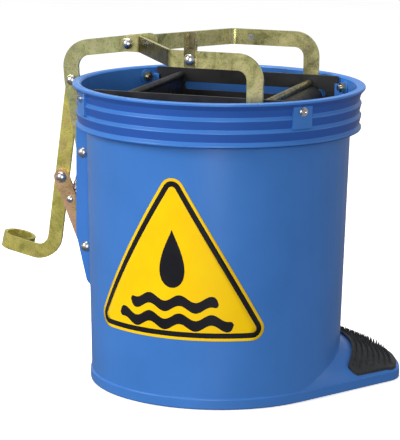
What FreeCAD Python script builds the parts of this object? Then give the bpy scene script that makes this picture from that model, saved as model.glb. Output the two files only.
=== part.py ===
import FreeCAD, Part
import math
import os

# Foot-operated mop bucket with a squeeze wringer.
# X runs from the lever side (-X) across the bucket, Y is across the wringer, Z is up.
# The origin is on the bucket's axis, at the floor.  Sizes are in millimetres.

# ---- bucket ----
BUCKET_HEIGHT = 326.0
BASE_BAND_R = 137.4
BASE_BAND_H = 11.0
BODY_BOTTOM_R = 136.0
BODY_TOP_R = 142.4
BODY_TOP_Z = 279.6
WALL = 3.0
FLOOR_UNDER_Z = 5.0
FLOOR_TOP_Z = 9.0
BASE_RING_W = 5.0
BASE_RIB_W = 4.0
CREST_R = 154.0
GROOVE_R = 151.6
CREST_Z = (282.2, 295.0, 307.8)
BEVEL_H = 3.2
LIP_R = 157.8
LIP_FOOT_Z = 318.4
LIP_EDGE_Z = 323.4
MOUTH_R = 148.3
MOUTH_STEP_Z = 281.0
MOUTH_FOOT_Z = 285.5

# ---- bolts that hold the wringer frame, on four bosses round the mouth ----
BOLT_ANGLE = 38.1
BOLT_Z = 315.2
BOLT_R = 3.0
BOSS_HALF_ANGLE = 4.4
BOSS_R = 155.2
BOSS_LOW_Z = 297.5
BOSS_HIGH_Z = 322.0
NUT_SEAT_R = 146.8
LUG_LOW_Z = 286.0

# ---- foot platform: a tongue on the base, turned round from +X ----
TONGUE_ANGLE = 37.0
CORNER_AXIS_DIST = 172.2
CORNER_SPREAD = 16.25
CORNER_R = 32.0
TIP_ARC_R = 150.0
RAMP_TOP_Z = 42.0
RAMP_TOP_R = 135.3
RAMP_SWELL = 0.7
RAMP_EDGE_W = 1.4
PAD_THICK = 3.2
PAD_INSET = 3.6
PAD_INNER_R = 150.0
PAD_HALF_ANGLE = 35.5
PAD_CORNER_R = 7.0
PAD_TIP_R = 2.5

# ---- lever bars ----
BAR_W = 17.4
BAR_T = 4.0
RIVET_R = 4.0
RUN_FIT = 0.05
HEAD_R = 6.2
HEAD_H = 4.2
CRANK_Y = -4.3
PEDAL_Y = 0.1
FRONT_TAB_Y = -8.7
BACK_TAB_Y = 0.1

# ---- pivots in the lever plane, as (x, z) ----
UPPER_PIVOT = (-154.0, 240.7)
LOWER_PIVOT = (-150.0, 135.0)
CRANK_PIN = (-169.0, 320.0)
LINK_PIN = (-181.5, 210.5)
YOKE_PIN = (-102.0, 364.0)
CRANK_CORNER = (-171.6, 354.0)
CRANK_CORNER_R = 22.0
LINK_STUD = (-171.3, 186.2)
CRANK_TIP_RUN = 23.5
OPEN_PIVOT_HOLE_R = 5.9

# ---- pedal ----
PEDAL_W = 16.2
PEDAL_CORNER = (-193.8, 118.9)
PEDAL_CORNER_R = 21.0
RING_CENTRE = (-242.8, 129.3)
RING_R = 18.2
RING_GAP_END_Y = 10.0

# ---- lever bracket moulded on the wall: two cheeks ----
CHEEK_T = 4.0
CHEEK_FRONT_Y = -9.4
CHEEK_BACK_Y = 8.6
CHEEK_X = -161.5
CHEEK_TOP_Z = 279.0
CHEEK_TAPER_Z = 149.0
LEVER_SLOT_R = 150.6

# ---- return spring, from the upper pivot's spacer to the link's stud ----
SPRING_Y = 4.3
SPRING_WIRE_R = 0.8
SPRING_COIL_R = 4.0
SPRING_TURNS = 22
SPRING_COIL_TOP = 10.0
SPRING_EYE_R = 6.6
SPACER_R = 5.5
STUD_NECK_R = 1.8
STUD_EYE_R = 4.1

# ---- wringer frame ----
PLATE_Y = 98.5
PLATE_T = 3.5
PLATE_HALF_L = 106.0
PLATE_SHOULDER_Z = 288.0
PLATE_WAIST_Z = 276.0
PLATE_WAIST_L = 87.0
FRAME_LOW_Z = 238.0
SLOT_Z = 306.2
SLOT_HALF_H = 4.3
SLOT_LEFT_X = -69.0
SLOT_RIGHT_X = 87.7
FIXED_X = -78.0
SHEET_T = 2.5
FIXED_TOP_Z = 322.0
DRAIN_HOLE_R = 4.0
DRAIN_PITCH = 16.0

# ---- yoke ----
ARM_Y = 105.3
ARM_Z = YOKE_PIN[1]
ARM_BEND_X = (-88.0, -19.0)
LEG_X = 73.3
LEG_CORNER_R = 19.0
LEG_PIN_RISE = 10.6
LEG_SLOT_HALF_W = 3.9
ARM_RIVET_X = 3.5

# ---- jaw ----
JAW_HALF_W = 96.3
ROLL_R = 4.0
ROLL_Z = 316.8
JAW_BACK_X = 89.0
JAW_LOW_Z = 247.0
GUIDE_PIN_R = 3.0
BUSH_R = 4.2


def vec(x, y, z):
    return FreeCAD.Vector(x, y, z)


X_AXIS = vec(1, 0, 0)
Y_AXIS = vec(0, 1, 0)
Z_AXIS = vec(0, 0, 1)


def save(name, shape):
    """Write one node; several solids go in one compound."""
    solids = shape.Solids
    body = solids[0] if len(solids) == 1 else Part.makeCompound(solids)
    if not body.isValid():
        print("INVALID", name)
    body.exportStep("parts/" + name + ".step")
    print(name, len(solids), round(body.Volume / 1000.0, 2), "cm3")


def rounded_edges(points, closed, place):
    """Lines through (a, b, radius) points with an arc at each corner."""
    count = len(points)
    corners = []
    for index, (a, b, radius) in enumerate(points):
        here = place(a, b)
        if radius <= 0 or (not closed and index in (0, count - 1)):
            corners.append((here, None, here))
            continue
        before = place(*points[index - 1][:2]) - here
        after = place(*points[(index + 1) % count][:2]) - here
        half = before.getAngle(after) / 2.0
        before.normalize()
        after.normalize()
        reach = radius / math.tan(half)
        inward = before + after
        inward.normalize()
        mid = here + inward * (radius / math.sin(half) - radius)
        corners.append((here + before * reach, mid, here + after * reach))
    edges = []
    for index, (start, mid, end) in enumerate(corners):
        if mid is not None:
            edges.append(Part.Arc(start, mid, end).toShape())
        if index < count - 1 or closed:
            following = corners[(index + 1) % count][0]
            if (following - end).Length > 1e-6:
                edges.append(Part.makeLine(end, following))
    return edges


def in_xz(y):
    return lambda a, b: vec(a, y, b)


def in_xy(z):
    return lambda a, b: vec(a, b, z)


def face_of(points, place):
    return Part.Face(Part.Wire(rounded_edges(points, True, place)))


def turned(points):
    """Solid of revolution about Z from (radius, z, corner) points."""
    return face_of(points, in_xz(0)).revolve(vec(0, 0, 0), Z_AXIS, 360)


def plate_xz(points, y, thick):
    return face_of(points, in_xz(y)).extrude(vec(0, thick, 0))


def rod_y(x, z, radius, y_from, y_to):
    return Part.makeCylinder(radius, y_to - y_from, vec(x, y_from, z), Y_AXIS)


def slot_y(x_from, x_to, z_from, z_to, radius, y_from, y_to):
    """Round-ended slot through the Y direction."""
    start = rod_y(x_from, z_from, radius, y_from, y_to)
    end = rod_y(x_to, z_to, radius, y_from, y_to)
    run = vec(x_to - x_from, 0, z_to - z_from)
    side = vec(-run.z, 0, run.x)
    side.normalize()
    side = side * radius
    a = vec(x_from, y_from, z_from)
    b = vec(x_to, y_from, z_to)
    middle = Part.Face(Part.makePolygon([a + side, b + side, b - side, a - side, a + side]))
    return start.fuse(middle.extrude(vec(0, y_to - y_from, 0))).fuse(end).removeSplitter()


def band_outline(wire, half):
    """Closed outline at a constant distance round an open centre line."""
    return Part.Face(wire.makeOffset2D(half, 0, False, False, False))


def flat_bar(points, y, width=BAR_W, thick=BAR_T):
    """Round-ended flat bar whose centre line lies in an XZ plane."""
    line = Part.Wire(rounded_edges(points, False, in_xz(y)))
    return band_outline(line, width / 2.0).extrude(vec(0, thick, 0))


def dome(x, y, z, radius, height, direction):
    """Domed rivet head standing on a face at y, bulging along -Y or +Y."""
    ball_r = (radius * radius + height * height) / (2.0 * height)
    centre_y = y - direction * (ball_r - height)
    ball = Part.makeSphere(ball_r, vec(x, centre_y, z))
    low, high = (y, y + height) if direction > 0 else (y - height, y)
    return ball.common(rod_y(x, z, radius, low, high))


def rivet(x, z, y_front, y_back, radius=RIVET_R, head_r=HEAD_R, head_h=HEAD_H):
    """Shank between two faces, a domed head in front and a flatter one behind."""
    shank = rod_y(x, z, radius, y_front, y_back)
    tail = dome(x, y_back, z, head_r * 0.85, head_h * 0.5, 1)
    return shank.fuse(dome(x, y_front, z, head_r, head_h, -1)).fuse(tail)


def turn_about_z(shape, angle):
    copy = shape.copy()
    copy.rotate(vec(0, 0, 0), Z_AXIS, angle)
    return copy


def polar(radius, angle):
    return radius * math.cos(math.radians(angle)), radius * math.sin(math.radians(angle))


def body_radius(z):
    """Outside radius of the plain wall at a height."""
    run = (z - BASE_BAND_H) / (BODY_TOP_Z - BASE_BAND_H)
    return BODY_BOTTOM_R + (BODY_TOP_R - BODY_BOTTOM_R) * run


BOLT_ANGLES = [BOLT_ANGLE, 180 - BOLT_ANGLE, 180 + BOLT_ANGLE, 360 - BOLT_ANGLE]


# ------------------------------------------------------------------ bucket

def bucket_outside():
    """Solid envelope of the bucket: band, plain wall, stepped ridges, lip."""
    points = [(0, 0, 0), (BASE_BAND_R, 0, 1.5), (BASE_BAND_R, BASE_BAND_H, 1.5)]
    points.append((BODY_BOTTOM_R, BASE_BAND_H + 1.2, 0))
    points.append((BODY_TOP_R, BODY_TOP_Z, 0.8))
    points.append((CREST_R, BODY_TOP_Z, 1.4))
    for crest in CREST_Z:
        points.append((CREST_R, crest, 1.6))
        points.append((GROOVE_R, crest + BEVEL_H, 0.7))
    points.append((CREST_R - 0.4, LIP_FOOT_Z, 0.8))
    points.append((LIP_R, LIP_EDGE_Z, 0.8))
    points.append((LIP_R, BUCKET_HEIGHT, 1.1))
    points.append((0, BUCKET_HEIGHT, 0))
    return turned(points)


def bucket_inside():
    """The space for water, open at the top."""
    points = [(0, FLOOR_TOP_Z, 0), (BODY_BOTTOM_R - WALL, FLOOR_TOP_Z, 6.0)]
    points.append((BODY_TOP_R - WALL, MOUTH_STEP_Z, 3.0))
    points.append((MOUTH_R, MOUTH_FOOT_Z, 2.0))
    points.append((MOUTH_R, BUCKET_HEIGHT - 1.6, 0))
    points.append((MOUTH_R + 1.6, BUCKET_HEIGHT, 0))
    points.append((MOUTH_R + 1.6, BUCKET_HEIGHT + 5, 0))
    points.append((0, BUCKET_HEIGHT + 5, 0))
    return turned(points)


def tongue_wire(z, inset):
    """Outline of the foot platform from the base circle round the tip and back."""
    base_r = BASE_BAND_R - inset
    corner_r = CORNER_R - inset
    lean = math.degrees(math.acos((BASE_BAND_R - CORNER_R) / CORNER_AXIS_DIST))
    near = TONGUE_ANGLE - CORNER_SPREAD
    far = TONGUE_ANGLE + CORNER_SPREAD
    along = CORNER_AXIS_DIST * math.cos(math.radians(CORNER_SPREAD))
    across = CORNER_AXIS_DIST * math.sin(math.radians(CORNER_SPREAD))
    reach = math.sqrt((TIP_ARC_R - CORNER_R) ** 2 - across ** 2)
    sweep = math.degrees(math.atan2(across, reach))
    centre = polar(along - reach, TONGUE_ANGLE)

    def at(origin, radius, angle):
        dx, dy = polar(radius, angle)
        return vec(origin[0] + dx, origin[1] + dy, z)

    def arc(origin, radius, start, end):
        mid = (start + end) / 2.0
        return Part.Arc(at(origin, radius, start), at(origin, radius, mid),
                        at(origin, radius, end)).toShape()

    near_axis = polar(CORNER_AXIS_DIST, near)
    far_axis = polar(CORNER_AXIS_DIST, far)
    tip_start = TONGUE_ANGLE - sweep
    tip_end = TONGUE_ANGLE + sweep
    start = at((0, 0), base_r, near - lean)
    finish = at((0, 0), base_r, far + lean)
    edges = [Part.makeLine(start, at(near_axis, corner_r, near - lean))]
    edges.append(arc(near_axis, corner_r, near - lean, tip_start))
    edges.append(arc(centre, TIP_ARC_R - inset, tip_start, tip_end))
    edges.append(arc(far_axis, corner_r, tip_end, far + lean))
    edges.append(Part.makeLine(at(far_axis, corner_r, far + lean), finish))
    edges.append(Part.makeLine(finish, start))
    return Part.Wire(edges)


def ramp_half_angle():
    lean = math.degrees(math.acos((BASE_BAND_R - CORNER_R) / CORNER_AXIS_DIST))
    return CORNER_SPREAD + lean


def ramp_line(plan, angle, inset):
    """Outer radius of the platform on one radial line, and the ramp's rise at the wall."""
    level = plan.BoundBox.ZMax
    ray = Part.makeLine(vec(0, 0, level), vec(*polar(400, angle), level)).common(plan)
    reach = BASE_BAND_R - RAMP_EDGE_W - inset
    for vertex in ray.Vertexes:
        reach = max(reach, math.hypot(vertex.Point.x, vertex.Point.y))
    swell = math.cos(math.radians(90.0 * (angle - TONGUE_ANGLE) / ramp_half_angle()))
    return reach, (RAMP_TOP_Z - BASE_BAND_H) * max(swell, 0.0) ** RAMP_SWELL


def ramp(drop=0.0, inset=0.0):
    """Sloping platform, lofted through upright sections from the wall to its outer edge."""
    top = BASE_BAND_H - drop
    foot = -1.0 if drop > 0 else 6.0
    plan = Part.Face(tongue_wire(top, RAMP_EDGE_W + inset))
    sections = []
    steps = 36
    for index in range(steps + 1):
        angle = TONGUE_ANGLE - ramp_half_angle() * math.cos(math.pi * index / steps)
        reach, rise = ramp_line(plan, angle, inset)
        corners = [vec(*polar(RAMP_TOP_R - inset, angle), foot)]
        corners.append(vec(*polar(RAMP_TOP_R - inset, angle), top + rise))
        corners.append(vec(*polar(reach, angle), top))
        corners.append(vec(*polar(reach, angle), foot))
        sections.append(Part.makePolygon(corners + corners[:1]))
    return Part.makeLoft(sections, True, True)


def tongue_prism(height, inset=0.0, z=0.0):
    return Part.Face(tongue_wire(z, inset)).extrude(vec(0, 0, height))


def tongue_base():
    """The platform's rim, with its top and bottom edges eased like the base band's."""
    base = tongue_prism(BASE_BAND_H)
    rim = []
    for edge in base.Edges:
        box = edge.BoundBox
        outer = math.hypot(*edge.CenterOfMass[:2]) > BASE_BAND_R - 8.0
        if box.ZMax - box.ZMin < 0.01 and outer:
            rim.append(edge)
    return base.makeFillet(1.2, rim)


def lever_cheek(y):
    """One cheek of the bracket that carries the lever pivots."""
    points = [(-141.0, CHEEK_TOP_Z + 3, 0), (CHEEK_X + 8, CHEEK_TOP_Z + 1.5, 2.0)]
    points.append((CHEEK_X, CHEEK_TOP_Z, 3.0))
    points.append((CHEEK_X, CHEEK_TAPER_Z, 40.0))
    points.append((-149.0, 97.0, 10.0))
    points.append((-136.0, 82.0, 0))
    return plate_xz(points, y, CHEEK_T)


def boss(angle):
    """Flat pad that bridges the ridges round one frame bolt."""
    ring = Part.makeCylinder(BOSS_R, BOSS_HIGH_Z - BOSS_LOW_Z, vec(0, 0, BOSS_LOW_Z),
                             Z_AXIS, 2 * BOSS_HALF_ANGLE)
    ring = ring.cut(Part.makeCylinder(MOUTH_R, 60, vec(0, 0, BOSS_LOW_Z - 5)))
    return turn_about_z(ring, angle - BOSS_HALF_ANGLE)


def frame_lug(side_x, side_y):
    """Moulded pocket inside the mouth that holds one end of a side plate."""
    low_z, high_z = LUG_LOW_Z, 318.0
    width = PLATE_T + 4.6
    start = vec(PLATE_HALF_L - 3.0, PLATE_Y - 2.3, low_z)
    block = Part.makeBox(12.0, width, high_z - low_z, start)
    lug = block.common(Part.makeCylinder(MOUTH_R + 1, 400))
    if side_x < 0:
        lug = lug.mirror(vec(0, 0, 0), X_AXIS)
    if side_y < 0:
        lug = lug.mirror(vec(0, 0, 0), Y_AXIS)
    return lug


def make_bucket():
    solid = bucket_outside().fuse(tongue_base()).fuse(ramp())
    for y in (CHEEK_FRONT_Y, CHEEK_BACK_Y):
        solid = solid.fuse(lever_cheek(y))
    for angle in BOLT_ANGLES:
        solid = solid.fuse(boss(angle))
    solid = solid.cut(bucket_inside())
    recess = Part.makeCylinder(BASE_BAND_R - BASE_RING_W, FLOOR_UNDER_Z + 1, vec(0, 0, -1))
    hollow = tongue_prism(BASE_BAND_H - WALL + 1, WALL, -1.0).fuse(ramp(WALL, WALL))
    hollow = hollow.cut(Part.makeCylinder(BASE_BAND_R + 0.6, 80, vec(0, 0, -5)))
    for angle in (0, 90):
        rib = Part.makeBox(400, BASE_RIB_W, FLOOR_UNDER_Z + 10, vec(-200, -BASE_RIB_W / 2.0, -5))
        recess = recess.cut(turn_about_z(rib, angle))
    solid = solid.cut(recess).cut(hollow)
    slot = Part.makeBox(20, 10.8, 56.5, vec(-LEVER_SLOT_R - 20, CHEEK_FRONT_Y + CHEEK_T, 264.0))
    solid = solid.cut(slot)
    for side_x in (-1, 1):
        for side_y in (-1, 1):
            solid = solid.fuse(frame_lug(side_x, side_y))
    for angle in BOLT_ANGLES:
        dx, dy = polar(1.0, angle)
        seat = vec(dx * NUT_SEAT_R, dy * NUT_SEAT_R, BOLT_Z)
        pad = Part.makeCylinder(7.5, MOUTH_R + 1 - NUT_SEAT_R, seat, vec(dx, dy, 0))
        solid = solid.fuse(pad)
        solid = solid.cut(Part.makeCylinder(BOLT_R, 50, seat - vec(dx, dy, 0) * 5, vec(dx, dy, 0)))
    plate_t = PLATE_T + 0.2
    for y in (PLATE_Y - 0.1, -PLATE_Y - PLATE_T - 0.1):
        room = Part.makeBox(2 * PLATE_HALF_L + 0.2, plate_t, 80, vec(-PLATE_HALF_L - 0.1, y, LUG_LOW_Z))
        solid = solid.cut(room)
    for x, z in (UPPER_PIVOT, LOWER_PIVOT):
        solid = solid.cut(rod_y(x, z, RIVET_R, CHEEK_FRONT_Y - 5, CHEEK_BACK_Y + CHEEK_T + 5))
    save("bucket", solid.removeSplitter())


def make_foot_pad():
    """Rubber tread on the platform, with rows of pointed studs."""
    footprint = tongue_prism(80.0, PAD_INSET)
    footprint = footprint.cut(Part.makeCylinder(PAD_INNER_R, 90, vec(0, 0, -2)))
    wedge = Part.makeCylinder(300, 90, vec(0, 0, -2), Z_AXIS, 2 * PAD_HALF_ANGLE)
    footprint = footprint.common(turn_about_z(wedge, TONGUE_ANGLE - PAD_HALF_ANGLE))
    for outer, radius in ((True, PAD_CORNER_R), (False, PAD_TIP_R)):
        corners = []
        for edge in footprint.Edges:
            middle = edge.CenterOfMass
            turn = abs(math.degrees(math.atan2(middle.y, middle.x)) - TONGUE_ANGLE)
            beyond = math.hypot(middle.x, middle.y) > PAD_INNER_R + 3.0
            if edge.BoundBox.ZLength > 70 and turn > PAD_HALF_ANGLE - 0.5 and beyond == outer:
                corners.append(edge)
        footprint = footprint.makeFillet(radius, corners)
    slope = ramp()
    raised = slope.copy()
    raised.translate(vec(0, 0, PAD_THICK))
    pad = footprint.common(raised).cut(slope).cut(tongue_prism(BASE_BAND_H))
    rows = 7
    row_gap = 6.2
    stud_pitch = 7.4
    stud_h = 5.6
    plan = Part.Face(tongue_wire(BASE_BAND_H, RAMP_EDGE_W))
    studs = []
    for row in range(rows):
        radius = PAD_INNER_R + 6.0 + row * row_gap
        spread = PAD_HALF_ANGLE - 3.0
        count = int(math.radians(2 * spread) * radius / stud_pitch)
        for index in range(count + 1):
            angle = TONGUE_ANGLE - spread + 2 * spread * (index + 0.5 * (row % 2)) / (count + 0.5)
            reach, rise = ramp_line(plan, angle, 0.0)
            if radius > reach - PAD_INSET - 4.0:
                continue
            slope_z = rise * (reach - radius) / (reach - RAMP_TOP_R)
            top = BASE_BAND_H + slope_z + PAD_THICK
            studs.append(Part.makeCone(1.7, 0.3, stud_h + 1.2, vec(*polar(radius, angle), top - 1.2)))
    pad = pad.fuse(studs)
    save("foot_pad", pad)


def make_sticker():
    """Thin rounded triangle wrapped on the front of the wall."""
    half_w = 97.5
    low_z, high_z = 74.5, 258.0
    side_x, side_z = 72.0, 130.0
    corner = 12.5
    shell_t = 0.35
    low, high = 60.0, 262.0
    outer = turned([(0, low, 0), (body_radius(low) + shell_t, low, 0),
                    (body_radius(high) + shell_t, high, 0), (0, high, 0)])
    inner = turned([(0, low, 0), (body_radius(low), low, 0),
                    (body_radius(high), high, 0), (0, high, 0)])
    skin = outer.cut(inner)
    points = [(-half_w, low_z, corner), (half_w, low_z, corner)]
    points.append((side_x, side_z, 200.0))
    points.append((0, high_z, corner))
    points.append((-side_x, side_z, 200.0))
    cutter = plate_xz(points, -160, 160)
    save("floor_sign_sticker", turn_about_z(skin.common(cutter), -1.3))


# ------------------------------------------------------------ wringer frame

def make_side_plate(name, side):
    """Side plate with the jaw's guide slot; its ends sit in the moulded lugs."""
    y = PLATE_Y if side > 0 else -PLATE_Y - PLATE_T
    points = [(-PLATE_HALF_L, BUCKET_HEIGHT, 1.5), (-PLATE_HALF_L, PLATE_SHOULDER_Z, 4)]
    points.append((-PLATE_WAIST_L, PLATE_WAIST_Z, 6))
    points.append((-PLATE_WAIST_L, FRAME_LOW_Z, 3))
    points.append((PLATE_WAIST_L, FRAME_LOW_Z, 3))
    points.append((PLATE_WAIST_L, PLATE_WAIST_Z, 6))
    points.append((PLATE_HALF_L, PLATE_SHOULDER_Z, 4))
    points.append((PLATE_HALF_L, BUCKET_HEIGHT, 1.5))
    plate = plate_xz(points, y, PLATE_T)
    slot = slot_y(SLOT_LEFT_X, SLOT_RIGHT_X, SLOT_Z, SLOT_Z, SLOT_HALF_H, y - 1, y + PLATE_T + 1)
    save(name, plate.cut(slot))


def make_fixed_plate():
    points = [(FIXED_X, FIXED_TOP_Z, 0.6), (FIXED_X, FRAME_LOW_Z, 0)]
    points.append((FIXED_X + SHEET_T, FRAME_LOW_Z, 0))
    points.append((FIXED_X + SHEET_T, FIXED_TOP_Z, 0.6))
    plate = plate_xz(points, -PLATE_Y, 2 * PLATE_Y)
    for y in (-60, -20, 20, 60):
        rib = Part.makeCylinder(3.0, 60, vec(FIXED_X + SHEET_T - 1.2, y, FRAME_LOW_Z + 10))
        plate = plate.fuse(rib)
    top_roll = rod_y(FIXED_X + SHEET_T / 2.0, FIXED_TOP_Z - ROLL_R, ROLL_R, -PLATE_Y, PLATE_Y)
    save("fixed_press_plate", plate.fuse(top_roll))


def make_drain_floor():
    """Perforated floor of the wringer, between the side plates."""
    x_from = FIXED_X + SHEET_T
    length = PLATE_WAIST_L - 1.0 - x_from
    tray = Part.makeBox(length, 2 * PLATE_Y, SHEET_T, vec(x_from, -PLATE_Y, FRAME_LOW_Z))
    holes = []
    for column in range(9):
        for row in range(11):
            x = x_from + 16.0 + column * DRAIN_PITCH
            y = (row - 5) * DRAIN_PITCH
            holes.append(Part.makeCylinder(DRAIN_HOLE_R, 10, vec(x, y, FRAME_LOW_Z - 4)))
    save("drain_floor", tray.cut(Part.makeCompound(holes)))


def radial_set(make_one):
    return Part.makeCompound([turn_about_z(make_one(), angle) for angle in BOLT_ANGLES])


def make_frame_fasteners():
    """Four bolts through the bosses, each with a washer outside and a nut inside."""
    washer_t = 1.2
    head_base = BOSS_R + washer_t

    def bolt():
        shank_from = NUT_SEAT_R - 8.0
        shank = Part.makeCylinder(BOLT_R, head_base - shank_from, vec(shank_from, 0, BOLT_Z), X_AXIS)
        head = Part.makeCylinder(3.7, 2.0, vec(head_base, 0, BOLT_Z), X_AXIS)
        socket = Part.makeCylinder(1.8, 1.4, vec(head_base + 0.7, 0, BOLT_Z), X_AXIS)
        return shank.fuse(head.cut(socket))

    def washer():
        ring = Part.makeCylinder(4.7, washer_t, vec(BOSS_R, 0, BOLT_Z), X_AXIS)
        return ring.cut(Part.makeCylinder(BOLT_R, 9, vec(BOSS_R - 3, 0, BOLT_Z), X_AXIS))

    def nut():
        corners = []
        for index in range(7):
            dy, dz = polar(5.6, 60 * index)
            corners.append(vec(NUT_SEAT_R - 5.0, dy, BOLT_Z + dz))
        block = Part.Face(Part.makePolygon(corners)).extrude(vec(5.0, 0, 0))
        return block.cut(Part.makeCylinder(BOLT_R, 30, vec(NUT_SEAT_R - 15, 0, BOLT_Z), X_AXIS))

    save("frame_bolts", radial_set(bolt))
    save("frame_washers", radial_set(washer))
    save("frame_nuts", radial_set(nut))


# ---------------------------------------------------------------- lever set

def pivot_bolt(name, pivot):
    x, z = pivot
    back = CHEEK_BACK_Y + CHEEK_T
    head = dome(x, CHEEK_FRONT_Y, z, 6.0, 3.4, -1)
    save(name, rod_y(x, z, RIVET_R, CHEEK_FRONT_Y, back + 6.5).fuse(head))


def make_pivot_hardware():
    pivot_bolt("upper_pivot_bolt", UPPER_PIVOT)
    pivot_bolt("lower_pivot_bolt", LOWER_PIVOT)
    back = CHEEK_BACK_Y + CHEEK_T
    nuts = []
    washers = []
    spacers = []
    for x, z in (UPPER_PIVOT, LOWER_PIVOT):
        corners = []
        for index in range(7):
            dx, dz = polar(6.6, 60 * index)
            corners.append(vec(x + dx, back, z + dz))
        nut = Part.Face(Part.makePolygon(corners)).extrude(vec(0, 5.0, 0))
        nuts.append(nut.cut(rod_y(x, z, RIVET_R, back - 1, back + 9)))
        washer = rod_y(x, z, 7.5, CHEEK_FRONT_Y + CHEEK_T, CRANK_Y - 0.25)
        washers.append(washer.cut(rod_y(x, z, RIVET_R, -20, 20)))
        spacer = rod_y(x, z, SPACER_R, CRANK_Y + BAR_T + 0.25, CHEEK_BACK_Y)
        spacer = spacer.fuse(rod_y(x, z, 7.5, CRANK_Y + BAR_T + 0.25, CRANK_Y + BAR_T + 1.4))
        spacers.append(spacer.cut(rod_y(x, z, RIVET_R, -20, 20)))
    save("pivot_nuts", Part.makeCompound(nuts))
    save("pivot_washers", Part.makeCompound(washers))
    save("pivot_spacers", Part.makeCompound(spacers))


def bored(shape, holes):
    for (x, z), radius in holes:
        shape = shape.cut(rod_y(x, z, radius, -130, 130))
    return shape


def make_crank():
    run_x = YOKE_PIN[0] - CRANK_CORNER[0]
    run_z = YOKE_PIN[1] - CRANK_CORNER[1]
    length = math.sqrt(run_x * run_x + run_z * run_z)
    tip_x = YOKE_PIN[0] + CRANK_TIP_RUN * run_x / length
    tip_z = YOKE_PIN[1] + CRANK_TIP_RUN * run_z / length
    points = [(*UPPER_PIVOT, 0), (*CRANK_PIN, 120.0), (*CRANK_CORNER, CRANK_CORNER_R)]
    points.append((tip_x, tip_z, 0))
    bar = flat_bar(points, CRANK_Y)
    holes = [(UPPER_PIVOT, RIVET_R + RUN_FIT), (CRANK_PIN, RIVET_R), (YOKE_PIN, RIVET_R)]
    save("crank_bar", bored(bar, holes))
    save("crank_rivet", rivet(*CRANK_PIN, CRANK_Y, PEDAL_Y + BAR_T + 0.3))
    save("yoke_rivet", rivet(*YOKE_PIN, FRONT_TAB_Y - 0.3, BACK_TAB_Y + BAR_T + 0.3))


def make_pedal():
    """Straight bar that turns outwards at the foot and curls into a ring."""
    rise = RING_CENTRE[1] - PEDAL_CORNER[1]
    run = PEDAL_CORNER[0] - RING_CENTRE[0]
    tilt = math.degrees(math.atan2(rise, run))
    points = [(*CRANK_PIN, 0), (*PEDAL_CORNER, PEDAL_CORNER_R), (*RING_CENTRE, 0)]
    bar = flat_bar(points, PEDAL_Y, PEDAL_W)
    ring_x, ring_z = RING_CENTRE
    centre_y = PEDAL_Y + RING_R
    low_z = ring_z - PEDAL_W / 2.0
    tool = Part.makeBox(40, 20, 60, vec(ring_x - 40, PEDAL_Y - 5, ring_z - 30))
    ring = Part.makeCylinder(RING_R, PEDAL_W, vec(ring_x, centre_y, low_z))
    ring = ring.cut(Part.makeCylinder(RING_R - BAR_T, PEDAL_W + 2, vec(ring_x, centre_y, low_z - 1)))
    gap_y = PEDAL_Y + BAR_T + 0.5
    gap = Part.makeBox(RING_R, RING_GAP_END_Y - gap_y, PEDAL_W + 2, vec(ring_x, gap_y, low_z - 1))
    ring = ring.cut(gap)
    for piece in (tool, ring):
        piece.rotate(vec(ring_x, 0, ring_z), Y_AXIS, tilt)
    bar = bar.cut(tool).fuse(ring).removeSplitter()
    holes = [(CRANK_PIN, RIVET_R + RUN_FIT), (LINK_PIN, RIVET_R)]
    save("pedal_bar", bored(bar, holes))
    save("link_rivet", rivet(*LINK_PIN, CRANK_Y - 0.3, PEDAL_Y + BAR_T))


def make_link():
    bar = slot_y(LINK_PIN[0], LOWER_PIVOT[0], LINK_PIN[1], LOWER_PIVOT[1], BAR_W / 2.0,
                 CRANK_Y, CRANK_Y + BAR_T)
    holes = [(LINK_PIN, RIVET_R + RUN_FIT), (LOWER_PIVOT, OPEN_PIVOT_HOLE_R), (LINK_STUD, 2.5)]
    save("link_bar", bored(bar, holes))
    stud = rod_y(*LINK_STUD, 2.5, CRANK_Y, CRANK_Y + BAR_T)
    stud = stud.fuse(rod_y(*LINK_STUD, 3.4, CRANK_Y + BAR_T, CRANK_Y + BAR_T + 1.2))
    stud = stud.fuse(rod_y(*LINK_STUD, STUD_NECK_R, CRANK_Y + BAR_T, SPRING_Y - SPRING_WIRE_R - 0.3))
    save("link_stud", stud.fuse(dome(LINK_STUD[0], CRANK_Y, LINK_STUD[1], 4.0, 1.8, -1)))


def eye(radius, x, z):
    return Part.makeTorus(radius, SPRING_WIRE_R, vec(x, SPRING_Y, z), Y_AXIS)


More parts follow.
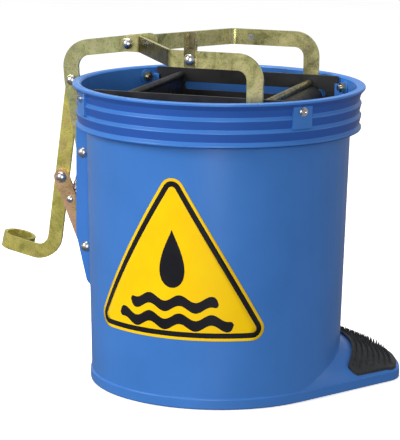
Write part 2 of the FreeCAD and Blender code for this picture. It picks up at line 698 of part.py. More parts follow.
def make_return_spring():
    """Close-wound coil with an eye on the spacer, and the hook that draws out of it."""
    top_x, top_z = UPPER_PIVOT
    reach_x = top_x - LINK_STUD[0]
    reach_z = top_z - LINK_STUD[1]
    reach = math.sqrt(reach_x * reach_x + reach_z * reach_z)
    lean = math.degrees(math.atan2(reach_x, reach_z))
    pitch = 2 * SPRING_WIRE_R
    inner = SPRING_COIL_R - pitch
    ridge = SPRING_COIL_R - SPRING_WIRE_R
    high = top_z - SPRING_COIL_TOP
    low = high - pitch * SPRING_TURNS
    edges = []
    for turn in range(SPRING_TURNS):
        start = high - pitch * turn
        middle = vec(SPRING_COIL_R, 0, start - SPRING_WIRE_R)
        edges.append(Part.Arc(vec(ridge, 0, start), middle, vec(ridge, 0, start - pitch)).toShape())
    edges.append(Part.makeLine(vec(ridge, 0, low), vec(inner, 0, low)))
    edges.append(Part.makeLine(vec(inner, 0, low), vec(inner, 0, high)))
    edges.append(Part.makeLine(vec(inner, 0, high), vec(ridge, 0, high)))
    coil = Part.Face(Part.Wire(edges)).revolve(vec(0, 0, 0), Z_AXIS, 360)
    coil = coil.fuse(Part.makeCylinder(ridge, 1.0, vec(0, 0, high - 1.0)))
    coil.translate(vec(top_x, SPRING_Y, 0))
    neck = Part.makeCylinder(SPRING_WIRE_R, top_z - SPRING_EYE_R - high + 1.0,
                             vec(top_x, SPRING_Y, high - 1.0))
    coil = coil.fuse(neck).fuse(eye(SPRING_EYE_R, top_x, top_z))
    foot = top_z - reach
    rod_r = inner - 1.0
    rod = Part.makeCylinder(rod_r, high - 2.5 - (low - 1.0), vec(top_x, SPRING_Y, low - 1.0))
    rod = rod.fuse(Part.makeCylinder(SPRING_WIRE_R, low - foot - STUD_EYE_R,
                                     vec(top_x, SPRING_Y, foot + STUD_EYE_R)))
    rod = rod.fuse(eye(STUD_EYE_R, top_x, foot))
    for name, piece in (("spring_coil", coil), ("spring_hook", rod)):
        piece.rotate(vec(top_x, 0, top_z), Y_AXIS, lean)
        save(name, piece)


# --------------------------------------------------------------------- yoke

def yoke_arm(side, tab_y):
    """Flat bar: tab at the crank, spread outwards, straight run, bend down to a leg."""
    low_z = ARM_Z - BAR_W / 2.0
    tab_x = YOKE_PIN[0] - BAR_W / 2.0 - 1.0
    join_x = 25.0
    plan = [(tab_x, tab_y, 0), (ARM_BEND_X[0], tab_y, 12.0)]
    plan.append((ARM_BEND_X[1], side * ARM_Y, 12.0))
    plan.append((join_x, side * ARM_Y, 0))
    line = Part.Wire(rounded_edges(plan, False, in_xy(low_z)))
    strip = band_outline(line, BAR_T / 2.0).extrude(vec(0, 0, BAR_W))
    keep = Part.makeBox(400, 400, 60, vec(YOKE_PIN[0], -200, low_z - 20))
    keep = keep.fuse(rod_y(*YOKE_PIN, BAR_W / 2.0, -60, 60))
    strip = strip.common(keep)
    foot_z = SLOT_Z - LEG_PIN_RISE
    drop = [(join_x - 10.0, ARM_Z, 0), (LEG_X, ARM_Z, LEG_CORNER_R), (LEG_X, foot_z, 0)]
    leg = flat_bar(drop, side * ARM_Y - BAR_T / 2.0)
    arm = strip.fuse(leg).removeSplitter()
    slot = slot_y(LEG_X, LEG_X, foot_z - 0.4, SLOT_Z + 0.4, LEG_SLOT_HALF_W, -130, 130)
    arm = arm.cut(slot)
    arm = arm.cut(rod_y(*YOKE_PIN, RIVET_R + RUN_FIT, -60, 60))
    return arm.cut(rod_y(ARM_RIVET_X, ARM_Z, 3.5, -130, 130))


def make_yoke():
    save("front_arm", yoke_arm(-1, FRONT_TAB_Y + BAR_T / 2.0))
    save("back_arm", yoke_arm(1, BACK_TAB_Y + BAR_T / 2.0))
    outer = ARM_Y + BAR_T / 2.0
    clip_t = 2.0
    front = rod_y(ARM_RIVET_X, ARM_Z, 3.5, -outer - clip_t, -outer + BAR_T)
    front = front.fuse(dome(ARM_RIVET_X, -outer - clip_t, ARM_Z, HEAD_R, HEAD_H, -1))
    front = front.fuse(dome(ARM_RIVET_X, -outer + BAR_T, ARM_Z, 4.8, 1.8, 1))
    back = rod_y(ARM_RIVET_X, ARM_Z, 3.5, outer - BAR_T, outer)
    back = back.fuse(dome(ARM_RIVET_X, outer, ARM_Z, HEAD_R, HEAD_H, 1))
    back = back.fuse(dome(ARM_RIVET_X, outer - BAR_T, ARM_Z, 4.8, 1.8, -1))
    save("arm_rivets", Part.makeCompound([front, back]))


def make_handle_clip():
    """Folded steel clip riveted on the front arm, standing up as a channel."""
    sheet = 2.0
    width = 12.4
    left = ARM_RIVET_X - 6.2
    front_y = -ARM_Y - BAR_T / 2.0 - sheet
    low_z = ARM_Z - BAR_W / 2.0 + 0.8
    arm_top = ARM_Z + BAR_W / 2.0
    top_z = 392.0
    base = Part.makeBox(width, sheet, arm_top + 2.5 - low_z, vec(left, front_y, low_z))
    shelf = Part.makeBox(width, 7.0, sheet, vec(left, front_y, arm_top + 0.5))
    web = Part.makeBox(width, sheet, top_z - arm_top - 0.5, vec(left, front_y + 5.0, arm_top + 0.5))
    clip = base.fuse(shelf).fuse(web)
    for x in (left, left + width - sheet):
        clip = clip.fuse(Part.makeBox(sheet, 6.0, top_z - arm_top - 0.5,
                                      vec(x, front_y, arm_top + 0.5)))
    clip = clip.cut(rod_y(ARM_RIVET_X, ARM_Z, 3.5, -130, -90))
    save("handle_clip", clip.removeSplitter())


# ---------------------------------------------------------------------- jaw

def make_jaw():
    """Moving press plate with a round top edge, end gussets and guide pins."""
    middle = [(LEG_X + 1.5, ROLL_Z - 3.5, 0), (JAW_BACK_X, ROLL_Z - 9.0, 14.0)]
    middle.append((JAW_BACK_X, JAW_LOW_Z + 2.0, 0))
    line = Part.Wire(rounded_edges(middle, False, in_xz(-JAW_HALF_W)))
    sheet = band_outline(line, SHEET_T / 2.0).extrude(vec(0, 2 * JAW_HALF_W, 0))
    roll = rod_y(LEG_X, ROLL_Z, ROLL_R, -JAW_HALF_W, JAW_HALF_W)
    gusset_t = 3.0
    gussets = []
    pins = []
    bushes = []
    clips = []
    outer = ARM_Y + BAR_T / 2.0
    for side in (-1, 1):
        face = side * JAW_HALF_W
        y = face - gusset_t if side > 0 else face
        points = [(LEG_X - 5.5, ROLL_Z - 1.0, 3), (LEG_X - 5.5, SLOT_Z - 8.0, 5)]
        points.append((JAW_BACK_X - 1.0, SLOT_Z - 30.0, 3))
        points.append((JAW_BACK_X - 1.0, ROLL_Z - 12.0, 6))
        gusset = plate_xz(points, y, gusset_t)
        gusset = gusset.cut(roll).cut(sheet).cut(rod_y(LEG_X, SLOT_Z, GUIDE_PIN_R, -120, 120))
        gussets.append(gusset.Solids[0])

        def along(radius, start, end):
            low, high = sorted((side * start, side * end))
            return rod_y(LEG_X, SLOT_Z, radius, low, high)

        pin = along(GUIDE_PIN_R, JAW_HALF_W - gusset_t, outer + 3.4)
        pins.append(pin.fuse(along(5.0, JAW_HALF_W - gusset_t - 2.0, JAW_HALF_W - gusset_t)))
        bush = along(BUSH_R, JAW_HALF_W + 0.4, PLATE_Y + PLATE_T + 0.4)
        bushes.append(bush.cut(along(GUIDE_PIN_R, 80, 120)))
        clip = along(6.6, outer + 0.4, outer + 1.8)
        clips.append(clip.cut(along(GUIDE_PIN_R, 80, 120)))
    save("jaw_plate", sheet.cut(roll))
    save("jaw_top_roll", roll)
    save("jaw_gussets", Part.makeCompound(gussets))
    save("guide_pins", Part.makeCompound(pins))
    save("guide_bushes", Part.makeCompound(bushes))
    save("guide_clips", Part.makeCompound(clips))


os.makedirs("parts", exist_ok=True)
make_bucket()
make_foot_pad()
make_sticker()
make_side_plate("front_side_plate", -1)
make_side_plate("back_side_plate", 1)
make_fixed_plate()
make_drain_floor()
make_frame_fasteners()
make_pivot_hardware()
make_crank()
make_pedal()
make_link()
make_return_spring()
make_yoke()
make_handle_clip()
make_jaw()
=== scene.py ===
import math

import bpy
from mathutils import Matrix, Vector


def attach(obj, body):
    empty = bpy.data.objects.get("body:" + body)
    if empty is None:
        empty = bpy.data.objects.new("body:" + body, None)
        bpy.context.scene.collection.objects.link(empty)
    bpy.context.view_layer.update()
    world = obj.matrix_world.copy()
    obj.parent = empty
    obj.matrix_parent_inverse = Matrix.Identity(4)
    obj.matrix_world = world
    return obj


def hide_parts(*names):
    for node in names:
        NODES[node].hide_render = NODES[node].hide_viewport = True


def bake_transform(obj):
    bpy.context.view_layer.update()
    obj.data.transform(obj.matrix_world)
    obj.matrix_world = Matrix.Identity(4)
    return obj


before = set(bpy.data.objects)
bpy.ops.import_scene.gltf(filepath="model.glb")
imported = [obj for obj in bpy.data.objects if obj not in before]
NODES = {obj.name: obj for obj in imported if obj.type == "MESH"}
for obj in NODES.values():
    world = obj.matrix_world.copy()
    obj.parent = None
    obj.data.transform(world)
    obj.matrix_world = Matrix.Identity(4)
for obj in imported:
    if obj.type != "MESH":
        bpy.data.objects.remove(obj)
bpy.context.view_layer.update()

MM = 0.001


# ---------------------------------------------------- camera, lights, floor

def make_camera():
    """The photograph's view: a long lens, a little above the rim, turned towards the platform."""
    azimuth, elevation, roll = (math.radians(v) for v in (18.51, 11.62, 0.66))
    target, distance, lens = Vector((-0.0197, 0.0, 0.1734)), 2.3839, 178.36
    right = Vector((math.cos(azimuth), math.sin(azimuth), 0))
    back = Vector((math.sin(azimuth) * math.cos(elevation),
                   -math.cos(azimuth) * math.cos(elevation), math.sin(elevation)))
    up = back.cross(right)
    turned_right = right * math.cos(roll) + up * math.sin(roll)
    turned_up = up * math.cos(roll) - right * math.sin(roll)
    data = bpy.data.cameras.new("camera")
    data.lens = lens
    data.clip_end = 50
    camera = bpy.data.objects.new("camera", data)
    place = Matrix((turned_right, turned_up, back)).transposed().to_4x4()
    place.translation = target + back * distance
    camera.matrix_world = place
    bpy.context.scene.collection.objects.link(camera)
    bpy.context.scene.camera = camera


def area_light(name, place, target, size, power):
    data = bpy.data.lights.new(name, "AREA")
    data.shape = "RECTANGLE"
    data.size, data.size_y = size
    data.energy = power
    light = bpy.data.objects.new(name, data)
    light.location = place
    light.rotation_euler = (Vector(target) - Vector(place)).to_track_quat("-Z", "Y").to_euler()
    bpy.context.scene.collection.objects.link(light)


def make_lights():
    aim = (0, 0, 0.18)
    area_light("key", (-1.7, -1.8, 1.5), aim, (0.9, 1.2), 48)
    area_light("front", (0.7, -2.4, 0.6), aim, (0.6, 1.4), 24)
    area_light("top", (-0.3, 0.3, 2.0), aim, (1.2, 1.2), 32)
    area_light("edge", (2.1, 0.9, 0.8), aim, (0.4, 1.6), 3)


def make_world():
    """A plain white surround, which lights the object as soft grey bands from below to above."""
    world = bpy.data.worlds.new("studio")
    bpy.context.scene.world = world
    world.use_nodes = True
    nodes, links = world.node_tree.nodes, world.node_tree.links
    nodes.clear()
    out = nodes.new("ShaderNodeOutputWorld")
    seen = nodes.new("ShaderNodeBackground")
    seen.inputs[0].default_value = (1, 1, 1, 1)
    seen.inputs[1].default_value = 1.0
    light = nodes.new("ShaderNodeBackground")
    light.inputs[1].default_value = 0.6
    coords = nodes.new("ShaderNodeTexCoord")
    split = nodes.new("ShaderNodeSeparateXYZ")
    ramp = nodes.new("ShaderNodeValToRGB")
    bands = ((0.0, 0.2), (0.36, 0.3), (0.46, 0.8), (0.58, 1.0), (0.72, 0.32), (1.0, 0.7))
    fill_ramp(ramp, [(at, (v, v, v * 1.02, 1)) for at, v in bands])
    height = nodes.new("ShaderNodeMath")
    height.operation = "MULTIPLY_ADD"
    height.inputs[1].default_value = 0.5
    height.inputs[2].default_value = 0.5
    path = nodes.new("ShaderNodeLightPath")
    mix = nodes.new("ShaderNodeMixShader")
    links.new(coords.outputs["Generated"], split.inputs[0])
    links.new(split.outputs["Z"], height.inputs[0])
    links.new(height.outputs[0], ramp.inputs[0])
    links.new(ramp.outputs[0], light.inputs[0])
    links.new(path.outputs["Is Camera Ray"], mix.inputs[0])
    links.new(light.outputs[0], mix.inputs[1])
    links.new(seen.outputs[0], mix.inputs[2])
    links.new(mix.outputs[0], out.inputs[0])


def make_floor():
    """A plain pale floor. It takes the object's shadow and sends no light back onto it."""
    reach, drop = 4.0, 0.0006
    corners = [(x * reach, y * reach, -drop) for x, y in ((-1, -1), (1, -1), (1, 1), (-1, 1))]
    mesh = bpy.data.meshes.new("floor")
    mesh.from_pydata(corners, [], [(0, 1, 2, 3)])
    floor = bpy.data.objects.new("floor", mesh)
    bpy.context.scene.collection.objects.link(floor)
    material, shader, tree = new_material("pale_floor")
    stops = [(0.3, (0.90, 0.90, 0.90, 1)), (0.7, (0.94, 0.94, 0.94, 1))]
    tree.links.new(ramp_of(tree, noise(tree, 3, 2), stops), shader.inputs["Base Color"])
    shader.inputs["Roughness"].default_value = 0.9
    shader.inputs["Specular IOR Level"].default_value = 0.0
    shader.inputs["Emission Color"].default_value = (1, 1, 1, 1)
    shader.inputs["Emission Strength"].default_value = 0.62
    mesh.materials.append(material)
    floor.visible_diffuse = False
    floor.visible_glossy = False
    floor.visible_shadow = False


# ---------------------------------------------------------------- materials

def fill_ramp(ramp, stops):
    elements = ramp.color_ramp.elements
    while len(elements) < len(stops):
        elements.new(0.5)
    for element, (at, colour) in zip(elements, stops):
        element.position = at
        element.color = colour


def new_material(name):
    material = bpy.data.materials.new(name)
    material.use_nodes = True
    tree = material.node_tree
    shader = tree.nodes["Principled BSDF"]
    return material, shader, tree


def noise(tree, scale, detail, rough=0.5, distort=0.0):
    """Noise texture over the object's own coordinates, which are the frame's."""
    coords = tree.nodes.new("ShaderNodeTexCoord")
    node = tree.nodes.new("ShaderNodeTexNoise")
    node.inputs["Scale"].default_value = scale
    node.inputs["Detail"].default_value = detail
    node.inputs["Roughness"].default_value = rough
    node.inputs["Distortion"].default_value = distort
    tree.links.new(coords.outputs["Object"], node.inputs["Vector"])
    return node.outputs["Fac"]


def ramp_of(tree, source, stops):
    ramp = tree.nodes.new("ShaderNodeValToRGB")
    fill_ramp(ramp, stops)
    tree.links.new(source, ramp.inputs[0])
    return ramp.outputs[0]


def map_range(tree, source, start, end, low, high):
    node = tree.nodes.new("ShaderNodeMapRange")
    for key, value in zip(("From Min", "From Max", "To Min", "To Max"), (start, end, low, high)):
        node.inputs[key].default_value = value
    tree.links.new(source, node.inputs["Value"])
    return node.outputs[0]


def multiply(tree, colour, tint, amount):
    """Multiplies a colour by a tint. The tint and the amount are each a plain value or an output."""
    mix = tree.nodes.new("ShaderNodeMix")
    mix.data_type = "RGBA"
    mix.blend_type = "MULTIPLY"
    factor, first, second = mix.inputs[0], mix.inputs[6], mix.inputs[7]
    tree.links.new(colour, first)
    for socket, value in ((factor, amount), (second, tint)):
        if isinstance(value, (float, tuple)):
            socket.default_value = value
        else:
            tree.links.new(value, socket)
    return mix.outputs[2]


def set_roughness(tree, shader, source, low, high):
    tree.links.new(map_range(tree, source, 0.3, 0.7, low, high), shader.inputs["Roughness"])


def add_bump(tree, shader, heights):
    """Stack bumps: each is (source, strength, distance in mm)."""
    normal = None
    for source, strength, distance in heights:
        bump = tree.nodes.new("ShaderNodeBump")
        bump.inputs["Strength"].default_value = strength
        bump.inputs["Distance"].default_value = distance * MM
        tree.links.new(source, bump.inputs["Height"])
        if normal is not None:
            tree.links.new(normal, bump.inputs["Normal"])
        normal = bump.outputs[0]
    tree.links.new(normal, shader.inputs["Normal"])


def painted_normal_shade(tree, colour, axis, reach, amount, tint):
    """Paints shade: multiplies a colour by a darker tint where the face's normal lies low on one
    axis.
    """
    geometry = tree.nodes.new("ShaderNodeNewGeometry")
    split = tree.nodes.new("ShaderNodeSeparateXYZ")
    tree.links.new(geometry.outputs["True Normal"], split.inputs[0])
    return multiply(tree, colour, tint, map_range(tree, split.outputs[axis], *reach, amount, 0.0))


def blue_plastic():
    """Moulded polyethylene, with painted shade where the rim's faces look down."""
    material, shader, tree = new_material("blue_moulded_plastic")
    cloud = noise(tree, 14, 4, 0.55)
    colour = ramp_of(tree, cloud, [(0.3, (0.046, 0.184, 0.540, 1)), (0.7, (0.056, 0.208, 0.600, 1))])
    # painted shade: faces that look down, the rim's undersides, are darkened to a deeper blue
    colour = painted_normal_shade(tree, colour, "Z", (-0.21, -0.07), 0.85, (0.46, 0.46, 0.70, 1))
    tree.links.new(colour, shader.inputs["Base Color"])
    set_roughness(tree, shader, noise(tree, 22, 1), 0.30, 0.34)
    grain, ripple = noise(tree, 900, 2, 0.6), noise(tree, 26, 2, 0.4)
    add_bump(tree, shader, [(grain, 0.12, 0.04), (ripple, 0.1, 0.5)])
    shader.inputs["Specular IOR Level"].default_value = 0.3
    return material


def zinc(name, stops, shade_left=False):
    """Passivated zinc: drifts of colour, blotches and a speckle. Left-hand faces may get painted
    shade and a painted dark reflection.
    """
    material, shader, tree = new_material(name)
    drift = noise(tree, 34, 5, 0.66, 1.4)
    colour = ramp_of(tree, drift, stops)
    blotch = noise(tree, 62, 5, 0.7, 0.6)
    speck = noise(tree, 520, 3, 0.75)
    marks = ((blotch, (0.45, 0.43, 0.30, 1), 0.4), (speck, (0.34, 0.33, 0.28, 1), 0.6))
    for source, low, amount in marks:
        dark = ramp_of(tree, source, [(0.34, low), (0.48, (1, 1, 1, 1))])
        colour = multiply(tree, colour, dark, amount)
    if shade_left:
        # painted shade and dark reflection: left-facing faces turn nearly black in mottled patches
        painted_dark_reflection = ramp_of(tree, noise(tree, 30, 4, 0.6, 1.5),
                        [(0.42, (0.02, 0.02, 0.015, 1)), (0.66, (0.16, 0.14, 0.06, 1))])
        colour = painted_normal_shade(tree, colour, "X", (-0.7, -0.3), 1.0, painted_dark_reflection)
    tree.links.new(colour, shader.inputs["Base Color"])
    shader.inputs["Metallic"].default_value = 0.8
    set_roughness(tree, shader, noise(tree, 90, 4), 0.2, 0.4)
    add_bump(tree, shader, [(speck, 0.3, 0.06), (noise(tree, 46, 3), 0.45, 0.5)])
    return material


def bright_steel(name="bright_zinc", tint=(0.74, 0.73, 0.70)):
    material, shader, tree = new_material(name)
    drift = noise(tree, 180, 4, 0.6)
    low = tuple(v * 0.72 for v in tint) + (1,)
    colour = ramp_of(tree, drift, [(0.3, low), (0.65, tint + (1,))])
    tree.links.new(colour, shader.inputs["Base Color"])
    shader.inputs["Metallic"].default_value = 1.0
    set_roughness(tree, shader, noise(tree, 260, 3), 0.2, 0.36)
    add_bump(tree, shader, [(noise(tree, 520, 3), 0.3, 0.05)])
    return material


def black_steel():
    material, shader, tree = new_material("black_painted_steel")
    drift = noise(tree, 38, 5, 0.6)
    colour = ramp_of(tree, drift, [(0.3, (0.007, 0.007, 0.008, 1)), (0.7, (0.019, 0.019, 0.02, 1))])
    tree.links.new(colour, shader.inputs["Base Color"])
    set_roughness(tree, shader, noise(tree, 120, 4), 0.34, 0.52)
    add_bump(tree, shader, [(noise(tree, 700, 3), 0.3, 0.06), (noise(tree, 40, 2), 0.2, 0.4)])
    return material


def tread_rubber():
    material, shader, tree = new_material("tread_rubber")
    drift = noise(tree, 120, 4, 0.6)
    colour = ramp_of(tree, drift, [(0.3, (0.016, 0.017, 0.019, 1)), (0.7, (0.034, 0.035, 0.038, 1))])
    tree.links.new(colour, shader.inputs["Base Color"])
    set_roughness(tree, shader, noise(tree, 200, 3), 0.55, 0.75)
    add_bump(tree, shader, [(noise(tree, 1100, 3), 0.35, 0.08)])
    return material


def vinyl(name, low, high):
    material, shader, tree = new_material(name)
    colour = ramp_of(tree, noise(tree, 30, 3), [(0.3, low), (0.7, high)])
    tree.links.new(colour, shader.inputs["Base Color"])
    set_roughness(tree, shader, noise(tree, 90, 2), 0.42, 0.52)
    shader.inputs["Specular IOR Level"].default_value = 0.18
    add_bump(tree, shader, [(noise(tree, 60, 2), 0.08, 0.2)])
    return material


GOLD = [(0.30, (0.42, 0.40, 0.09, 1)), (0.44, (0.74, 0.68, 0.17, 1)),
        (0.56, (0.86, 0.76, 0.20, 1)), (0.70, (0.82, 0.60, 0.28, 1))]
OLIVE = [(0.30, (0.22, 0.21, 0.08, 1)), (0.42, (0.52, 0.50, 0.20, 1)),
         (0.55, (0.74, 0.68, 0.30, 1)), (0.70, (0.66, 0.54, 0.28, 1))]
GREY_GREEN = [(0.30, (0.30, 0.31, 0.13, 1)), (0.45, (0.58, 0.60, 0.27, 1)),
              (0.70, (0.68, 0.62, 0.34, 1))]
PINK = [(0.30, (0.72, 0.54, 0.20, 1)), (0.50, (0.88, 0.55, 0.33, 1)),
        (0.70, (0.90, 0.48, 0.40, 1))]
# painted shade: the zinc darkened for the jaw's top roll and the handle clip
SHADED_ZINC_STOPS = [(0.32, (0.10, 0.095, 0.05, 1)), (0.6, (0.30, 0.26, 0.13, 1))]


def dress(node, material):
    mesh = NODES[node].data
    mesh.materials.clear()
    mesh.materials.append(material)


make_camera()
make_lights()
make_world()
make_floor()
bpy.context.scene.view_settings.view_transform = "Standard"

BLUE = blue_plastic()
BLACK = black_steel()
RUBBER = tread_rubber()
SILVER = bright_steel()
PLATED = bright_steel("yellow_plated_steel", (0.66, 0.60, 0.40))
# the front arm's zinc, with painted shade and dark reflection on its left-facing faces
ZINC_ARM = zinc("zinc_front_arm", OLIVE, shade_left=True)
# painted shade: a darkened copy of the zinc, on the jaw's top roll and the handle clip
SHADED_ZINC = zinc("zinc_painted_shade", SHADED_ZINC_STOPS)
YELLOW = vinyl("yellow_vinyl", (1.0, 0.60, 0.0, 1), (1.0, 0.66, 0.0, 1))
INK = vinyl("black_ink", (0.006, 0.006, 0.009, 1), (0.012, 0.012, 0.016, 1))
ZINC_GOLD = zinc("zinc_gold", GOLD)
ZINC_OLIVE = zinc("zinc_olive", OLIVE)
ZINC_GREY = zinc("zinc_grey_green", GREY_GREEN)
ZINC_PINK = zinc("zinc_pink", PINK)

DRESSING = {
    "bucket": BLUE, "foot_pad": RUBBER, "floor_sign_sticker": YELLOW,
    "front_side_plate": BLACK, "back_side_plate": BLACK, "fixed_press_plate": BLACK,
    "drain_floor": BLACK, "jaw_plate": BLACK, "jaw_gussets": BLACK, "jaw_top_roll": SHADED_ZINC,
    "crank_bar": ZINC_GREY, "pedal_bar": ZINC_GOLD, "link_bar": ZINC_PINK,
    "front_arm": ZINC_ARM, "back_arm": ZINC_OLIVE, "handle_clip": SHADED_ZINC,
    "frame_nuts": PLATED, "pivot_nuts": PLATED, "pivot_washers": PLATED,
    "pivot_spacers": PLATED, "guide_clips": PLATED, "guide_bushes": PLATED,
}
for node_name in NODES:
    dress(node_name, DRESSING.get(node_name, SILVER))


# ----------------------------------------------------------- detailed pieces

def add_mesh(name, points, faces, material):
    """A smooth piece from points in millimetres."""
    mesh = bpy.data.meshes.new(name)
    mesh.from_pydata([tuple(v * MM for v in point) for point in points], [], faces)
    mesh.materials.append(material)
    mesh.validate()
    for polygon in mesh.polygons:
        polygon.use_smooth = True
    piece = bpy.data.objects.new(name, mesh)
    bpy.context.scene.collection.objects.link(piece)
    return piece


# the bucket's wall in millimetres, and the sign wrapped round it; SIGN_TURN is in degrees
WALL_FOOT_Z, WALL_FOOT_R = 11.0, 136.0
WALL_HEAD_Z, WALL_HEAD_R = 279.6, 142.4
SIGN_R = 139.0
SIGN_TURN = -91.3
SIGN_HALF_W, SIGN_LOW_Z, SIGN_HIGH_Z, SIGN_CORNER_R = 108.5, 74.5, 258.0, 13.0
DROP_MID_Z, DROP_HALF_H, DROP_HALF_W = 160.5, 31.0, 19.0
WAVE_RISE, WAVE_HALF_PERIOD, WAVE_THICK = 3.6, 17.0, 11.5


def wall_radius(z):
    run = (z - WALL_FOOT_Z) / (WALL_HEAD_Z - WALL_FOOT_Z)
    return WALL_FOOT_R + (WALL_HEAD_R - WALL_FOOT_R) * run


def on_wall(across, z, proud):
    """A point of the flat sign, wrapped round the front of the wall."""
    angle = math.radians(SIGN_TURN) + across / SIGN_R
    radius = wall_radius(z) + proud
    return radius * math.cos(angle), radius * math.sin(angle), z


def rounded_triangle(inset):
    """Outline of the sign as (across, z), drawn in by an inset, with rounded corners."""
    half, low, high = SIGN_HALF_W - 1.75 * inset, SIGN_LOW_Z + inset, SIGN_HIGH_Z - 2.0 * inset
    radius = max(SIGN_CORNER_R - inset, 3.0)
    arc_steps = 12
    corners = [(-half, low), (half, low), (0.0, high)]
    outline = []
    for index, corner in enumerate(corners):
        here = Vector(corner)
        before = (Vector(corners[index - 1]) - here).normalized()
        after = (Vector(corners[(index + 1) % 3]) - here).normalized()
        half_angle = before.angle(after) / 2
        centre = here + (before + after).normalized() * radius / math.sin(half_angle)
        start = here + before * radius / math.tan(half_angle) - centre
        end = here + after * radius / math.tan(half_angle) - centre
        first = math.atan2(start.y, start.x)
        sweep = (math.atan2(end.y, end.x) - first) % (2 * math.pi)
        for step in range(arc_steps + 1):
            turn = first + sweep * step / arc_steps
            outline.append((centre.x + radius * math.cos(turn), centre.y + radius * math.sin(turn)))
    return outline


def drop_outline():
    """A water drop: a round foot drawn up to a point."""
    steps, taper = 48, 1.3
    outline = []
    for step in range(steps):
        turn = 2 * math.pi * step / steps
        across = DROP_HALF_W * math.sin(turn) * math.sin(turn / 2) ** taper
        outline.append((across, DROP_MID_Z + DROP_HALF_H * math.cos(turn)))
    return outline


def span_at(outline, z):
    """Left and right ends of a convex outline at a height."""
    hits = []
    for (x0, z0), (x1, z1) in zip(outline, outline[1:] + outline[:1]):
        if (z0 - z) * (z1 - z) <= 0 and z0 != z1:
            hits.append(x0 + (x1 - x0) * (z - z0) / (z1 - z0))
    return (min(hits), max(hits)) if hits else (0.0, 0.0)


def wrapped_shape(name, outline, proud, material, rows=72, columns=28):
    """Fills an outline with a grid bent round the wall, and turns its edge down to the wall."""
    hair, edge_depth = 0.01, 0.3
    low = min(z for _, z in outline) + hair
    high = max(z for _, z in outline) - hair
    points, faces = [], []
    for row in range(rows + 1):
        z = low + (high - low) * (1 - math.cos(math.pi * row / rows)) / 2
        left, right = span_at(outline, z)
        for column in range(columns + 1):
            points.append(on_wall(left + (right - left) * column / columns, z, proud))
    wide = columns + 1
    for row in range(rows):
        for column in range(columns):
            at = row * wide + column
            faces.append((at, at + 1, at + 1 + wide, at + wide))
    rim = list(range(wide))
    rim += [row * wide + columns for row in range(1, rows + 1)]
    rim += [rows * wide + column for column in range(columns - 1, -1, -1)]
    rim += [row * wide for row in range(rows - 1, 0, -1)]
    base = len(points)
    for index in rim:
        x, y, z = points[index]
        shrink = (math.hypot(x, y) - min(proud, edge_depth)) / math.hypot(x, y)
        points.append((x * shrink, y * shrink, z))
    count = len(rim)
    for step in range(count):
        follow = (step + 1) % count
        faces.append((rim[step], base + step, base + follow, rim[follow]))
    return add_mesh(name, points, faces, material)


def wave_band(name, z_mid, half, proud, material):
    """A round-ended wavy band of the symbol."""
    steps, hair, half_thick = 64, 0.01, WAVE_THICK / 2
    lower, upper = [], []
    for step in range(steps + 1):
        across = -half + 2 * half * step / steps
        into_end = max(0.0, (abs(across) - half + half_thick) / half_thick)
        reach = half_thick * math.sqrt(max(0.0, 1 - into_end ** 2)) + hair
        centre = z_mid + WAVE_RISE * math.sin(across * math.pi / WAVE_HALF_PERIOD)
        lower.append(on_wall(across, centre - reach, proud))
        upper.append(on_wall(across, centre + reach, proud))
    points = lower + upper
    wide = steps + 1
    faces = [(i, i + 1, i + 1 + wide, i + wide) for i in range(steps)]
    return add_mesh(name, points, faces, material)


def make_sign():
    """The sign in thin layers: face, border, field and symbol, each a little prouder of the wall."""
    face_out, border_out, field_out, symbol_out = 0.34, 0.42, 0.50, 0.58
    face = wrapped_shape("sign_face", rounded_triangle(0.0), face_out, YELLOW)
    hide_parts("floor_sign_sticker")
    layers = [
        face,
        wrapped_shape("sign_border", rounded_triangle(3.0), border_out, INK),
        wrapped_shape("sign_field", rounded_triangle(8.6), field_out, YELLOW),
        wrapped_shape("sign_drop", drop_outline(), symbol_out, INK, 48, 16),
        wave_band("sign_wave_upper", 113.0, 50.0, symbol_out, INK),
        wave_band("sign_wave_lower", 93.5, 66.0, symbol_out, INK),
    ]
    for layer in layers:
        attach(layer, "frame")


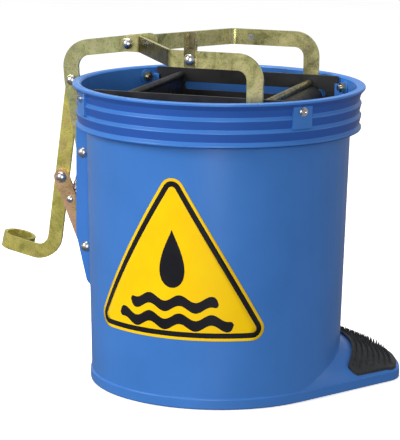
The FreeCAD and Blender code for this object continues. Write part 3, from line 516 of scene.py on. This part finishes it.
def tube_along(name, centres, radius, material, sides):
    """Round wire along a line of points."""
    points, faces = [], []
    reference = Vector((0, 1, 0))
    last = len(centres) - 1
    for index, centre in enumerate(centres):
        ahead = centres[min(index + 1, last)] - centres[max(index - 1, 0)]
        ahead.normalize()
        side = ahead.cross(reference)
        if side.length < 0.2:
            side = ahead.cross(Vector((1, 0, 0)))
        side.normalize()
        up = side.cross(ahead)
        reference = up
        for step in range(sides):
            turn = 2 * math.pi * step / sides
            points.append(tuple(centre + (side * math.cos(turn) + up * math.sin(turn)) * radius))
    for ring in range(last):
        for step in range(sides):
            a, b = ring * sides + step, ring * sides + (step + 1) % sides
            faces.append((a, b, b + sides, a + sides))
    faces.append(tuple(range(sides - 1, -1, -1)))
    faces.append(tuple(range(last * sides, (last + 1) * sides)))
    return add_mesh(name, points, faces, material)


def make_spring():
    """Return spring: an eye on the upper spacer, a close coil, and a hook at the link's stud."""
    top, foot = Vector((-154.0, 4.3, 240.7)), Vector((-171.3, 4.3, 186.2))
    wire_r, coil_r, eye_r, hook_r = 0.75, 3.2, 6.6, 4.1
    coil_from, coil_turns, pitch = 10.0, 22, 1.62
    eye_steps, turn_steps, wire_sides = 24, 20, 8
    eye_gap, hook_gap = 8.2, 2.0
    axis = (foot - top).normalized()
    side = Vector((0, 1, 0))
    across = axis.cross(side)
    coil_to = coil_from + pitch * coil_turns

    def bent(first, second, turn):
        return first * math.cos(turn) + second * math.sin(turn)

    centres = []
    for step in range(eye_steps + 1):
        centres.append(top + bent(axis, across, 2 * math.pi * step / eye_steps) * eye_r)
    centres.append(top + axis * eye_gap)
    for step in range(coil_turns * turn_steps + 1):
        turn = 2 * math.pi * step / turn_steps
        along = coil_from + pitch * step / turn_steps
        centres.append(top + axis * along + bent(across, side, turn) * coil_r)
    centres.append(top + axis * (coil_to + hook_gap))
    for step in range(turn_steps + 1):
        centres.append(foot - bent(axis, across, 2 * math.pi * step / turn_steps) * hook_r)
    spring = tube_along("return_spring", centres, wire_r, SILVER, wire_sides)
    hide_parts("spring_coil", "spring_hook")
    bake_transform(spring)


def soften_edges():
    """Rounds the rolled and sheared edges of the bars and sheets."""
    bars = ("crank_bar", "pedal_bar", "link_bar", "front_arm", "back_arm", "handle_clip")
    sheets = ("front_side_plate", "back_side_plate", "fixed_press_plate", "jaw_plate")
    for names, width in ((bars, 0.7), (sheets, 0.4)):
        for name in names:
            bevel = NODES[name].modifiers.new("eased_edges", "BEVEL")
            bevel.width = width * MM
            bevel.segments = 2
            bevel.limit_method = "ANGLE"
            bevel.angle_limit = math.radians(50)
            bevel.harden_normals = True


make_sign()
make_spring()
soften_edges()
